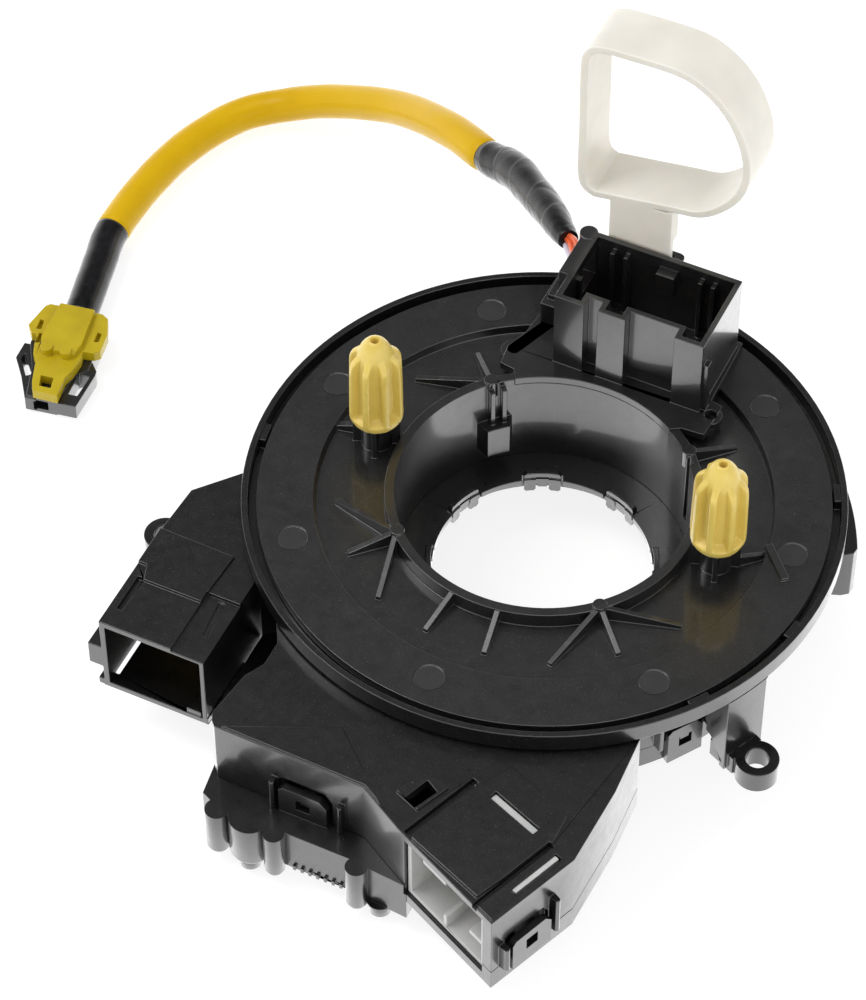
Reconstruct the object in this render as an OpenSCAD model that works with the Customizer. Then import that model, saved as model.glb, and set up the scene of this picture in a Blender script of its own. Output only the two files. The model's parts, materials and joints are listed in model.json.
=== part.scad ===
// Steering clock spring: the spiral cable cassette that sits behind a
// steering wheel. A fixed case carries two harness sockets and the
// steering angle pick-up. The rotor turns in it with the wheel and carries
// the upper socket, the two bushes, the driver airbag lead and a pull-out
// shipping lock. Axis of rotation is Z, the two posts lie on X, the upper
// socket points to +Y. Z = 0 is the screw face under the ears.

/* [Case] */
// Outer diameter of the case ring
ring_d = 108; // [107.6:0.1:108.6]
// Wall thickness of the case ring
ring_wall = 1.2; // [1:0.1:1.2]
// Height of the ring's top edge above the screw face
ring_top = 23.7; // [23.5:0.1:24.2]
// Height of the flat deck round the ring
deck_top = 19.5; // [19.2:0.1:19.6]
// Height of the seam between the case and the base cover
seam_z = 5; // [4.8:0.1:5.2]
// Thickness of the case walls
case_wall = 1.5; // [1.3:0.1:1.7]
// Radius of the screw holes in the ears
ear_hole_r = 2.1; // [1.8:0.1:2.4]

/* [Rotor] */
// Outer radius of the rotor disc
disc_r = 51.3; // [50.9:0.1:51.3]
// Inner radius of the rotor hub
hub_r = 26.7; // [26.5:0.1:26.8]
// Wall thickness of the rotor hub
hub_wall = 1.8; // [1.6:0.1:1.8]
// Radius of the steering column bore
bore_r = 20; // [19.5:0.1:20.2]
// Distance of each post from the axis
post_x = 33.2; // [32.8:0.1:33.4]
// Height of the yellow bushes
bush_h = 20.3; // [19:0.1:21]

/* [Ribbon cable] */
// Turns of ribbon cable wound in the cassette
ribbon_turns = 5; // [3:1:5]
// Thickness of the ribbon
ribbon_t = 0.4; // [0.3:0.1:0.5]
// Width of the ribbon
ribbon_w = 9; // [7:0.5:9]

/* [Angle pick-up] */
// Gear module
gear_m = 0.8; // [0.8:0.1:0.8]
// Teeth on the drive ring
ring_teeth = 80; // [80:1:80]
// Teeth on the first pick-up gear
gear_a_teeth = 20; // [20:1:20]
// Teeth on the second pick-up gear
gear_b_teeth = 18; // [18:1:18]

/* [Lead and lock] */
// Outer diameter of the yellow sheath
sheath_d = 7; // [6.4:0.1:7]
// Depth of the lock's pull loop
loop_depth = 11; // [9:0.5:12]
// Thickness of the lock's strip
strip_t = 1.5; // [1.3:0.1:1.6]

/* [Hidden] */
$fn = 96;
e = 0.02;

ring_r = ring_d/2;
ring_ri = ring_r - ring_wall;
flat_z = ring_top - 0.6;      // top of the rotor's flat annulus
floor_z = ring_top - 2.2;     // floor of the rotor's shallow recess
hub_top = ring_top + 0.8;
hub_ro = hub_r + hub_wall;
cap_z = ring_top + 4.4;       // underside of the bushes
tower_top = ring_top + 18.3;
base_top = ring_top + 1.0;    // top of the upper socket's base plate
ledge_z = 3.7;
rest_z = -8.3;                // what the locating pins stand on
drum_r = 46;                  // outer radius of the cable drum under the ring
drum_ri = drum_r - 1.4;
shelf_z = ring_top - 2.7;     // top of the shelf between drum and ring

// centres of the pick-up gears
ga_r = gear_m*(ring_teeth + gear_a_teeth)/2;
gb_r = gear_m*(ring_teeth + gear_b_teeth)/2;
ga_a = -115;
gb_a = -75;

function polar(r, a) = [r*cos(a), r*sin(a)];
function arc(r, a0, a1, n) = [for (i = [0:n]) polar(r, a0 + (a1 - a0)*i/n)];
function nrm(a, b) = let (v = b - a, l = norm(v)) [-v[1]/l, v[0]/l];
// parallel outline, d inside an anticlockwise outline
function inset(p, d) = [for (i = [0:len(p)-1])
    let (a = p[(i + len(p) - 1)%len(p)], b = p[i], c = p[(i + 1)%len(p)],
         n1 = nrm(a, b), n2 = nrm(b, c)) b + d*(n1 + n2)/(1 + n1*n2)];
// smooth closed curve through hand-set points
function cr(p0, p1, p2, p3, u) = 0.5*(2*p1 + (p2 - p0)*u
    + (2*p0 - 5*p1 + 4*p2 - p3)*u*u + (3*p1 - p0 - 3*p2 + p3)*u*u*u);
function round_loop(p, k) = [for (i = [0:len(p)-1], j = [0:k-1])
    cr(p[(i + len(p) - 1)%len(p)], p[i], p[(i + 1)%len(p)], p[(i + 2)%len(p)], j/k)];

// plan outlines, anticlockwise
left_plan = [[-59.5,-57],[-38.8,-57],[-38.8,-36],[-33.1,-31.3],[-40,-21.8],[-43.9,-12.3],
    [-52.3,-15.7],[-58.9,-23.4],[-59.5,-33.8]];
front_plan = [[-31.6,-67.5],[-30.6,-68.5],[-1.9,-69.1],[7.3,-74.3],
    [29.4,-84.7],[33.1,-75.4],[36.4,-67.1],[36.9,-51.5],
    [36.2,-39.3],[32,-36],[-28,-40],[-31.3,-43.8],[-29.1,-47.7],[-29.1,-52.8],
    [-31,-56.5],[-32.3,-65.9]];
tray_plan = [[-27,-44],[-29.5,-50],[-31,-56.5],[-32.4,-66],[-31.4,-72.6],
    [-28,-74.2],[-2,-74.2],[1.4,-74.6],[9,-75.2],[9,-62],[22,-47],[22,-27.2],
    [-27,-27.2]];
gear_hole = [[-23,-44.5],[18,-46.5],[20,-45],[20,-29],[-25,-29],[-25,-42]];
plate_plan = [[-18.4,38.4],[-18.9,33],[-20.4,28.6],[-19.9,24.1],[-17,23.7],
    [-15.5,21.1],[-14.4,20],[14.4,20],[14.4,22.5],[16.2,23.7],[20.5,24],
    [20.9,31.7],[18.5,32.3],[18.2,47.6],[-13.3,47.6],[-13.5,40]];
tower_plan = [[-11.5,28.6],[-5.7,28.6],[-5.7,31],[-3,31],[-3,28.6],[2.4,28.6],
    [2.4,31],[11.9,31],[11.9,28.6],[17.6,28.6],[17.6,46.5],[-13.3,46.5],
    [-13.3,34.5],[-11.5,34.5]];
tower_cavity = [[-10.4,29.6],[-6.7,29.6],[-6.7,32],[-2,32],[-2,29.6],
    [1.4,29.6],[1.4,32],[12.9,32],[12.9,29.6],[16.6,29.6],[16.6,45.4],
    [-10.4,45.4]];
low_plan = [[-27.5,-30],[-27.5,-50.5],[20.5,-50.5],[20.5,-30]];
loop_plan = [[-15.2,84.6],[-15.8,80],[-15.7,66],[-15.5,53.6],[-13,50.3],
    [-9.7,50.5],[2.6,52.6],[8.6,53.8],[13,57.4],[16,62],[17.2,67.5],
    [16.4,73.6],[13.6,80],[9.2,84.8],[3.3,87.5],[-6.4,87.6],[-12.6,87]];

// turned towards the front connector's mouth
block_o = [9.5, -75.3];
block_a = -21.2;
// the front face is turned a little further than the block
module front_face() { translate([7.3, -74.3, 0]) rotate(-25.2) children(); }
module block() { translate([block_o[0], block_o[1], 0]) rotate(block_a) children(); }

// ---------------------------------------------------------------- helpers
module slab(p, z0, z1) { translate([0, 0, z0]) linear_extrude(z1 - z0) polygon(p); }
module tubez(r0, r1, z0, z1) {
    translate([0, 0, z0]) rotate_extrude() translate([r0, 0]) square([r1 - r0, z1 - z0]);
}
module sector(r, a0, a1, z0, z1) {
    slab(concat([[0, 0]], arc(r, a0, a1, 4)), z0, z1);
}
// thin rib in a vertical plane from hub point a to floor point b
module gusset(a, b, zf, zt, t = 1.0) {
    d = b - a;
    translate([a[0], a[1], 0]) rotate([90, 0, atan2(d[1], d[0])])
        linear_extrude(t, center = true)
            polygon([[0, zf], [norm(d), zf], [norm(d), min(zf + 0.9, zt)], [0, zt]]);
}

// tooth outline of a spur gear, first tooth on +X
module gear2d(n, m, ad = 0.75, de = 1.05, tp = 0.34, tt = 0.16) {
    rp = n*m/2;
    q = 360/n;
    polygon([for (i = [0:n-1]) each [
        polar(rp - de*m, q*(i - 0.36)), polar(rp, q*(i - tp/2)),
        polar(rp + ad*m, q*(i - tt/2)), polar(rp + ad*m, q*(i + tt/2)),
        polar(rp, q*(i + tp/2)), polar(rp - de*m, q*(i + 0.36))]]);
}

// latch loop on the base cover, standing on a wall that faces -Y
module latch_loop(w = 9, h = 9) {
    translate([0, 0, -1]) rotate([90, 0, 0]) difference() {
        linear_extrude(1.35) polygon([[-w/2, 0], [w/2, 0], [w/2, h - 1.2],
            [w/2 - 1.4, h + 0.4], [-w/2 + 0.8, h + 0.4], [-w/2, h - 0.4]]);
        translate([-1.3, h*0.42, -1]) cube([2.6, 2.6, 4]);
    }
    translate([-w/2, -1.35, -1]) cube([w, 1.35, 2.2]);
}
// pocket in the wall that the loop lies in
module latch_pocket(w = 9, h = 9) {
    translate([0, 0, -1.2]) rotate([90, 0, 0]) translate([0, 0, -0.75]) linear_extrude(3)
        polygon([[-w/2 - 0.5, 0], [w/2 + 0.5, 0], [w/2 + 0.5, h - 0.2],
            [w/2 - 0.8, h + 1.7], [-w/2 + 0.4, h + 1.7], [-w/2 - 0.5, h + 0.8]]);
}
// catch that the loop's window snaps over
module catch(h = 9) { translate([-1, -1.1, h*0.42 - 0.6]) cube([2, 1.9, 1.4]); }

// ---------------------------------------------------------------- fixed case
module upper_case() {
    color([0.09, 0.09, 0.095]) difference() {
        union() {
            // ring round the rotor disc, and the drum that holds the cable
            translate([0, 0, shelf_z - 1]) cylinder(r = ring_r, h = ring_top - shelf_z + 1);
            translate([0, 0, seam_z - 0.1]) cylinder(r = drum_r, h = shelf_z - seam_z);
            // socket body on the left, and its raised lid
            slab(left_plan, 1.3, deck_top);
            under_ring(left_plan, 1.5);
            slab([[-59.5,-33.8],[-59.5,-42.3],[-57.7,-42.3],[-56.6,-45.6],
                [-45.2,-45.6],[-44.5,-34.1]], deck_top - e, deck_top + 0.5);
            // side flange and lip of the left socket
            translate([-62.2, -57, 6.7]) cube([3.4, 9.6, 5.4]);
            translate([-60.6, -57, 1.45]) cube([21.9, 14, 1.6]);
            // front lobe and connector block
            slab(front_plan, seam_z, deck_top);
            under_ring(front_plan, seam_z + 0.2);
            intersection() {
                slab([[-29.9,-68.3],[4,-72.6],[-10.5,-59.5]], deck_top - e, deck_top + 0.45);
                slab(inset(front_plan, 0.4), deck_top - 1, deck_top + 1);
            }
            block() slab([[0.4,0.4],[16.6,0.2],[17.4,16.6],[15,22.5],[1.5,22.8],[0.4,15.6]],
                deck_top - e, deck_top + 0.6);
            block() slab([[18,-0.9],[21.6,-1.1],[21.6,17.4],[17.6,17.4],[17.2,4]],
                deck_top - e, deck_top + 0.25);
            // square frame round the test window
            slab([[3.5,-67.4],[8.5,-69.5],[11.3,-63.1],[6.4,-61.7]],
                deck_top - e, deck_top + 0.5);
            // guard ribs beside the latches
            for (x = [-19.6, -6.6]) slab([[x, -68], [x, -70.2], [x + 0.5, -70.6], [x + 1, -70.2], [x + 1, -68]], seam_z, 12.4);
            block() for (y = [0.8, 12.4]) slab([[21.8, y - 0.7], [23.6, y - 0.5], [23.9, y], [23.6, y + 0.5], [21.8, y + 0.7]], seam_z + 0.2, 11 + y*0.25);
            rotate(-33.4) for (y = [-5.2, 5.2]) slab([[drum_r - 1.2, y - 0.5], [47.6, y - 0.4], [47.6, y + 0.4], [drum_r - 1.2, y + 0.5]], seam_z + 0.2, 12);
            // screw ears
            ear(52.4, -24.2, -24.8);
            ear(-64.8, -24, -160);
            // buttress that carries the right ear: outer wall and two webs
            slab(concat(arc(ring_r - 0.1, -29.2, -19.7, 6), arc(ring_r - 1.5, -19.7, -29.2, 6)), 0.6, shelf_z - 0.5);
            for (a = [-29.2, -20.9]) rotate(a) translate([0, 1.1, 0]) rotate([90, 0, 0]) linear_extrude(1.1)
                polygon([[drum_r - 1, 7.2], [49.7, 6.1], [53.3, 1.8], [53.3, shelf_z - 0.4], [drum_r - 1, shelf_z - 0.4]]);
            // long boss on the right-hand side, under the ring
            slab(concat([polar(54.4, 20.8), polar(55.9, 21.3)], arc(56.6, 22.6, 39.2, 8),
                [polar(55.9, 40.5), polar(54.4, 41), polar(45.2, 41), polar(45.2, 20.8)]), 0, 11.7);
        }
        // room for the rotor disc, and the cable drum's inside
        difference() {
            translate([0, 0, shelf_z]) cylinder(r = ring_ri, h = 20);
            inner_lugs();
        }
        translate([0, 0, -1]) cylinder(r = drum_ri, h = 30);
        // the base cover's drum closes it from below
        translate([0, 0, -3]) cylinder(r = drum_r + 0.2, h = seam_z + 3);
        // slot that the shipping lock's tongue drops into
        translate([-8.4, 46.8, 15]) cube([10.8, 2, 10]);
        // the gears reach out under the drum's wall, and the cable's end comes out
        slab(low_plan, 3, 6.35);
        rotate(-62) translate([43.5, -3, 8.4]) cube([3.2, 6, 6]);
        // room in the front lobe and the connector block
        difference() {
            slab(inset(front_plan, case_wall), seam_z - 1, deck_top - 1.6);
            translate([0, 0, -1]) cylinder(r = drum_r, h = 40);
        }
        // trench beside the label field, and the step on its other side
        block() translate([-1.6, 0.6, deck_top - 1.2]) cube([1.5, 16, 6]);
        block() translate([16.9, -1.4, deck_top - 0.9]) cube([1.1, 18, 4]);
        // pockets round the latches
        translate([-13.2, -68.75, seam_z - 0.2]) latch_pocket(9.3, 7.4);
        block() translate([22, 6.6, seam_z - 0.2]) rotate(90) latch_pocket(9, 7);
        rotate(-33.4) translate([drum_r, 0, 1.25]) rotate(90) latch_pocket(7.2, 8.3);
        // connector mouth
        block() translate([-1, -8, 0]) cube([20.6, 16, deck_top - 1.6]);
        // pale slots beside the label field
        block() translate([3.4, 15.7, deck_top - 3]) cube([10.5, 1.5, 6]);
        block() translate([19.3, 5.4, deck_top - 3]) cube([1.4, 10.4, 6]);
        // test window
        slab([[5.5,-68.1],[7.9,-69.2],[9.9,-64.8],[7.4,-63.3]], deck_top - 3, deck_top + 3);
        // left socket
        translate([-58.4, -60, 2.6]) cube([18.6, 26, 15.6]);
        translate([-61, -54.6, -1]) cube([3.2, 9.4, 3.7]);
        translate([-45.2, -60, deck_top - 0.7]) cube([8, 17, 4]);
        translate([-58, -53, deck_top - 0.8]) cube([1.1, 8, 3]);
        translate([-41.9, -51.5, deck_top - 1.0]) rotate(5) cube([1.1, 8, 4]);
        slab([[-58.2,-40],[-40.5,-40],[-40.5,-36],[-44.5,-28.5],[-52,-19.5],[-57.5,-24.2],[-58,-34]], 2.8, 17.9);
        // screw holes
        translate([52.4, -24.2, -1]) cylinder(r = ear_hole_r, h = 8);
        translate([-64.8, -24, -1]) cylinder(r = ear_hole_r, h = 8);
    }
    color([0.09, 0.09, 0.095]) {
        translate([-13.2, -68.2, seam_z - 0.2]) catch(7.4);
        block() translate([21.4, 6.6, seam_z - 0.2]) rotate(90) catch(7);
        rotate(-33.4) translate([45.1, -1, seam_z + 0.02]) cube([1.9, 2, 1.2]);
        // tab in the left socket's mouth
        translate([-43, -56.9, 2.4]) cube([2.9, 5, 1.5]);
    }
}

// the part of a plan outline that lies under the ring goes up to its shelf
module under_ring(p, z0) {
    intersection() {
        slab(p, z0, shelf_z - 0.3);
        translate([0, 0, -5]) cylinder(r = ring_r - 0.7, h = 40);
    }
}
// hooks beside the rotor disc
module inner_lugs() {
    for (a = [-171, -35, -10, 26])
        slab(concat(arc(disc_r + 0.3, a - 2.2, a + 2.2, 2),
            arc(ring_ri + 0.4, a + 2.2, a - 2.2, 2)), shelf_z - 0.3, ring_top - 0.5);
}
module ear(x, y, a) {
    translate([x, y, 0]) cylinder(r = 3.9, h = 4.7);
    translate([x, y, 0]) rotate(a + 180) translate([2.6, -3.4, 0.15]) cube([5.9, 6.8, 4.4]);
}

module base_cover() {
    color([0.12, 0.12, 0.125]) difference() {
        union() {
            // drum floor, its wall, and the lip inside the case's drum
            translate([0, 0, 0.2]) cylinder(r = drum_r, h = seam_z - 0.25);
            translate([0, 0, 1]) cylinder(r = drum_ri - 0.2, h = 5.3);
            // collar round the column opening
            translate([0, 0, -1]) cylinder(r = 24.2, h = 2.4);
            // front pan with its scalloped flange
            slab(tray_plan, -4.5, seam_z - 0.05);
            slab(front_plan, 0.3, seam_z - 0.05);
            // floor of the recess beside the left socket
            slab([[-38.5,-54.5],[-29,-54.5],[-29,-35],[-32.9,-31.6],[-38.5,-36.2]], 0.5, 3.4);
            foot_boss(-27.6, -74.6, 2.2, -5.8);
            foot_boss(-21.8, -73.4, 3.9, -4.9);
            foot_boss(-16.4, -75.1, 1.9, -5.8);
            foot_boss(-0.5, -75.1, 2, -5.8);
            for (i = [0:7]) translate([-13.2 + i*1.5, -74.65, -4.45]) cube([0.6, 0.9, 1.2]);
            // locating pins that also carry the part when it stands
            for (p = [[-21.6,-74.4],[3.2,-73.6]]) locating_pin(p, -4.5);
            for (p = [[-31,37],[31,37]]) {
                locating_pin(p, 0.2);
                translate([p[0], p[1], 0.4]) cylinder(r = 4.2, h = 4);
            }
            // latch loops
            translate([-13.2, -68.8, seam_z - 0.2]) latch_loop(9.3, 7.4);
            block() translate([22.06, 6.6, seam_z - 0.2]) rotate(90) latch_loop(9, 7);
            rotate(-33.4) translate([drum_r - 0.05, 0, 1.25]) rotate(90) latch_loop(7.2, 8.3);
            rotate(-33.4) translate([43.5, -3.5, 0.4]) cube([3.2, 7, 1.6]);
        }
        // space above the floor inside the drum
        translate([0, 0, 2.2]) cylinder(r = drum_ri - 1.4, h = 20);
        slab(low_plan, 2.6, 20);
        // pan under the gears and the front lobe
        slab(inset(tray_plan, case_wall), -3, 0.3);
        slab(gear_hole, 0, 3);
        difference() {
            slab(inset(tray_plan, case_wall), 0, 3.6);
            translate([0, 0, -1]) cylinder(r = 43, h = 40);
        }
        difference() {
            slab([[-29.4,-66],[-27.5,-66.8],[4,-67.4],[9,-70],[9,-45],[-27.6,-45]], 0, 9);
            translate([0, 0, -1]) cylinder(r = drum_r + 1.5, h = 40);
        }
        // room under the connector insert
        block() translate([-1, -8, 2.5]) cube([20.6, 26.6, 8]);
        block() translate([19.4, 5, 2.5]) cube([1.1, 12, 8]);
        // column opening
        translate([0, 0, -10]) cylinder(r = 22.6, h = 30);
    }
    // posts under the gear carrier
    color([0.12, 0.12, 0.125]) for (p = [[-21,-31],[-21,-42],[17,-31],[17,-43],[0,-33]])
        translate([p[0], p[1], -3.1]) cylinder(r = 1.5, h = 3.7);
}

module foot_boss(x, y, r, z) {
    translate([x, y, 0]) rotate_extrude() polygon([[0, z], [r - 1, z], [r - 0.3, z + 0.3],
        [r, z + 1.1], [r, seam_z - 0.05], [0, seam_z - 0.05]]);
}
module locating_pin(p, z) {
    translate([p[0], p[1], 0]) rotate_extrude($fn = 48)
        polygon([[0, z + 0.2], [2.4, z + 0.2], [2.4, z - 0.2], [1.9, z - 0.8],
            [1.9, rest_z + 1], [1.3, rest_z], [0, rest_z]]);
}

module harness_connector() {
    color([0.80, 0.80, 0.78]) difference() {
        union() {
            block() translate([-0.85, -3, 2.65]) cube([20.3, 21.4, 15.1]);
            // ribs that show in the two slots of the roof
            block() translate([3.5, 15.8, 17.6]) cube([10.3, 1.3, deck_top - 17.5]);
            block() translate([19.3, 5.6, 12]) cube([0.95, 10, deck_top - 12]);
        }
        front_face() translate([-10, -20, -5]) cube([60, 20.7, 40]);
        // plug cavity, open at the mouth, with its keyways
        block() difference() {
            translate([0.1, -6, 3.6]) cube([18.4, 19, 13.2]);
            translate([8.6, -7, 2]) cube([0.9, 21, 4.4]);
            translate([15.4, -7, 8.7]) cube([4, 21, 1]);
            translate([3.2, -7, 15.4]) cube([6, 21, 2]);
        }
    }
}

module harness_pins() {
    color([0.78, 0.66, 0.36]) block() {
        for (i = [0:7], j = [0:2]) translate([1.5 + i*2.2, 7.2, 5.4 + j*3.4 + 1.2*(i%2)])
            cube([0.64, 5.7, 0.64]);
    }
}

module socket_pins() {
    color([0.78, 0.66, 0.36]) for (i = [0:5], j = [0:1])
        translate([-55.8 + i*2.7, -46, 7.4 + j*5.4]) cube([0.64, 6, 0.64]);
    // shroud wall that holds the pins
    color([0.1, 0.1, 0.1]) translate([-58.3, -41.4, 2.7]) cube([18.4, 1.2, 15.4]);
}

module gear_carrier() {
    color([0.75, 0.75, 0.73]) difference() {
        union() {
            slab(inset(gear_hole, 0.15), 0.6, 2.2);
        }
        for (g = [[ga_r, ga_a], [gb_r, gb_a]]) translate([g[0]*cos(g[1]), g[0]*sin(g[1]), 0])
            cylinder(r = 2.56, h = 3);
    }
}

module gear_lid() {
    color([0.16, 0.16, 0.165]) difference() {
        translate([0, 0, 6.4]) cylinder(r = drum_ri - 0.15, h = 0.9);
        translate([0, 0, 6]) cylinder(r = 33.3, h = 2);
        for (g = [[ga_r, ga_a], [gb_r, gb_a]]) translate([g[0]*cos(g[1]), g[0]*sin(g[1]), 6])
            cylinder(r = 1.1, h = 2, $fn = 48);
    }
}

module sensor_board() {
    color([0.05, 0.32, 0.18]) difference() {
        slab([[-24.8,-47],[-28.8,-58],[-30,-66],[-29.4,-71],[-26,-71.8],[4,-72],[5.5,-62],
            [14,-47],[14.5,-35.3],[-24.8,-35.3]], -2.8, -1.4);
        // clears the carrier's posts and the pins
        for (p = [[-21,-42],[17,-43]]) translate([p[0], p[1], -5]) cylinder(r = 2, h = 5, $fn = 48);
    }
}

module sensor_chips() {
    color([0.06, 0.06, 0.07]) {
        for (g = [[ga_r, ga_a], [gb_r, gb_a]]) translate([g[0]*cos(g[1]) - 2.2, g[0]*sin(g[1]) - 0.6, -1.4])
            cube([4.4, 4.4, 1]);
        translate([-14, -62, -1.4]) cube([9, 9, 1.3]);
        translate([-25, -62, -1.4]) cube([4, 3, 0.9]);
        translate([-25, -56, -1.4]) cube([4, 3, 0.9]);
    }
    color([0.75, 0.75, 0.72]) for (i = [0:4]) translate([-1 + i*0, -66 + i*3, -1.4]) cube([1.6, 0.8, 0.6]);
}

module outer_terminal_block() {
    color([0.14, 0.14, 0.145]) difference() {
        rotate(-62) translate([46.3, -6, 7.3]) cube([5.1, 12, 6.2]);
        rotate(-62) translate([45, -4.5, 9]) cube([2.2, 9, 2.6]);
    }
}

// ---------------------------------------------------------------- rotor
module rotor_disc() {
    color([0.085, 0.085, 0.09]) difference() {
        union() {
            rotate_extrude($fn = 160) polygon([
                [hub_r, 3.75], [hub_ro, 3.75], [hub_ro, floor_z - 1.8], [40.2, floor_z - 1.8],
                [42, flat_z - 1.8], [disc_r, flat_z - 1.8], [disc_r, flat_z], [41.1, flat_z],
                [40.8, floor_z],
                [hub_ro, floor_z], [hub_ro, hub_top], [hub_r, hub_top]]);
            // posts for the bushes
            for (s = [-1, 1]) translate([s*post_x, 0, 0]) {
                translate([0, 0, floor_z - 0.5]) cylinder(r = 2.75, h = cap_z - floor_z + 0.5);
                translate([0, 0, cap_z - 1]) cylinder(r = 2.5, h = 17);
                // thin ribs that stop the bush
                for (a = [20, 110, 200, 290]) rotate(a) translate([1, -0.45, floor_z - 0.4]) cube([3.3, 0.9, cap_z - floor_z + 0.35]);
            }
            // gusset ribs from the hub to the recess floor
            for (g = [[-135,-154],[-135,-135],[-135,-117],[-45,-64],[-45,-45],[-45,-25],
                      [135,154],[135,134],[45,45]])
                gusset(polar(27.8, g[0]), polar(37, g[1]), floor_z - 0.2, hub_top);
            for (a = [-100, -82]) gusset(polar(27.8, a), polar(36.4, a), floor_z - 0.2, hub_top);
            gusset([37, 1.6], [41, 5.6], floor_z - 0.1, flat_z + 0.7, 0.9);
            gusset([40.6, 6.2], [46.2, 0.4], flat_z - 0.4, flat_z + 0.75, 1.5);
            gusset([-36.6, 0.7], [-42, -0.4], floor_z - 0.1, flat_z + 0.5, 1.3);
            // knobs where the ribs meet on the rim
            for (a = [-135, -45, 45, 135]) translate([27.7*cos(a), 27.7*sin(a), floor_z - 0.5])
                cylinder(r = 1.3, h = hub_top - floor_z + 0.8, $fn = 48);
            // guide block on the hub's inner wall, and the two rails above it
            for (a = [130, 135]) slab(concat(arc(25.2, a, a + 2, 1), arc(27.2, a + 2, a, 1)), 14.5, 23.5);
            slab(concat(arc(23.9, 129.3, 139.7, 3), arc(27.2, 142, 127, 3)), 8, 15);
        }
        // seat for the upper socket's base plate
        translate([0, 0, flat_z + 0.02]) linear_extrude(5) polygon(plate_plan);
        // window for the socket's contacts
        translate([-8.6, 33, floor_z - 4]) cube([23, 9, 8]);
        // slot for the shipping lock
        translate([-9.5, 46.7, 10]) cube([13, 2.3, 20]);
        // flow-mark dimples from the mould's ejector pins
        for (a = [-142, -91, -41, 8, 53, 127, 170]) translate([45.6*cos(a), 45.6*sin(a), flat_z - 0.12])
            cylinder(r = 2.7, h = 1, $fn = 48);
        // groove in the hub
        rotate(40) translate([26, -0.8, 8]) cube([1.4, 1.6, 20]);
    }
}

module hub_sleeve() {
    color([0.10, 0.10, 0.105]) difference() {
        union() {
            difference() {
                translate([0, 0, 2.4]) cylinder(r = 30.5, h = ledge_z - 2.4);
                cylinder(r = bore_r, h = 20);
            }
            // snap clips: a loop with the catch standing in its window
            difference() {
                for (i = [0:7]) rotate(24.5 + 45*i) {
                    translate([19.2, 0, 0]) rotate([90, 0, 90]) linear_extrude(2)
                        polygon([[-3.4,0.7],[-3,0.3],[-1.6,0.3],[-1.2,0.7],[-1.2,4],[1.2,4],
                            [1.2,0.7],[1.6,0.3],[3,0.3],[3.4,0.7],[3.4,4.7],[3,5.1],[-3,5.1],[-3.4,4.7]]);
                    translate([20.5, -0.85, 1.1]) cube([1, 1.7, 2]);
                }
                translate([0, 0, -3]) cylinder(r = bore_r + 0.3, h = 20);
            }
        }
        // relief beside each clip
        for (i = [0:7]) rotate(24.5 + 45*i) {
            for (y = [-3.85, 3.41]) translate([19, y, 2]) cube([2.1, 0.44, 3]);
            translate([19, -1.18, 2]) cube([1.2, 2.36, 3.1 - 1.12]);
        }
    }
}

module drive_ring_gear() {
    color([0.86, 0.86, 0.83]) difference() {
        translate([0, 0, ledge_z + 0.05]) linear_extrude(2.35) gear2d(ring_teeth, gear_m);
        translate([0, 0, -1]) cylinder(r = hub_ro + 0.05, h = 20);
    }
}

module tower_housing() {
    color([0.085, 0.085, 0.09]) difference() {
        union() {
            // base plate on the rotor
            difference() {
                slab(plate_plan, flat_z + 0.05, base_top);
                translate([0, 0, 0]) cylinder(r = hub_r, h = 60);
            }
            difference() {
                slab(tower_plan, flat_z + 0.05, tower_top);
                slab(tower_cavity, base_top + 1.5, tower_top + 1);
            }
            // ribs inside the back wall
            for (x = [-6.9, -4.3, 10.4, 12.9]) translate([x - 0.4, 43.9, base_top + 1]) cube([0.8, 2, tower_top - base_top - 2.6]);
            translate([2, 43.2, tower_top - 6.5]) cube([3.6, 2.6, 4.5]);
            translate([-10.6, 36, base_top + 1]) cube([1, 1.2, 14]);
            translate([15.8, 36, base_top + 1]) cube([1, 1.2, 14]);
            // rounded lug on the left wall
            translate([-12.3, 45.6, tower_top - 5]) cylinder(r = 1.7, h = 5.2, $fn = 48);
            // guides that hold the lock's stem
            translate([0, 0, base_top - 1]) {
                linear_extrude(14) polygon([[-11.4,46.2],[-9.5,46.2],[-9.5,48.9],[-8.2,48.9],
                    [-8,49.3],[-8.2,49.8],[-10.4,49.8],[-11.1,49.5],[-11.4,48.8]]);
                linear_extrude(16.4) polygon([[3.5,46.2],[5.3,46.2],[5.3,48.8],[5,49.5],
                    [4.3,49.8],[2.2,49.8],[2,49.3],[2.2,48.9],[3.5,48.9]]);
            }
            // side gusset and pin eyes
            translate([17.5, 29.4, base_top - 0.2]) cube([1, 1.6, 12]);
            translate([-19.1, 28.3, flat_z + 0.05]) cylinder(r = 2.4, h = 1.3);
            translate([19.7, 29, flat_z + 0.05]) cylinder(r = 2.2, h = 1.3);
        }
        translate([-19.1, 28.3, 20]) cylinder(r = 1.1, h = 9, $fn = 48);
        translate([19.7, 29, 20]) cylinder(r = 1.1, h = 9, $fn = 48);
        // wire outlet on the left
        translate([-14, 38.6, 32.9]) cube([4.6, 6.2, 6.9]);
        // the contacts come up through the floor
        for (i = [0:6], j = [0:1])
            translate([-7.08 + i*3.2, 35.32 + j*4.2, 20]) cube([0.8, 0.8, 8]);
        // nothing reaches past the disc's slot for the lock
        translate([-9.3, 46.6, 10]) cube([12.6, 2.3, 60]);
    }
}

module tower_pins() {
    color([0.78, 0.66, 0.36]) for (i = [0:6], j = [0:1])
        translate([-7 + i*3.2, 35.4 + j*4.2, 20]) cube([0.64, 0.64, 9]);
}

module inner_terminal_block() {
    color([0.14, 0.14, 0.145]) difference() {
        translate([-8.4, 33.2, 16.9]) cube([22.6, 8.6, 6.1]);
        for (i = [0:6], j = [0:1])
            translate([-7.08 + i*3.2, 35.32 + j*4.2, 19.9]) cube([0.8, 0.8, 9]);
    }
}

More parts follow.
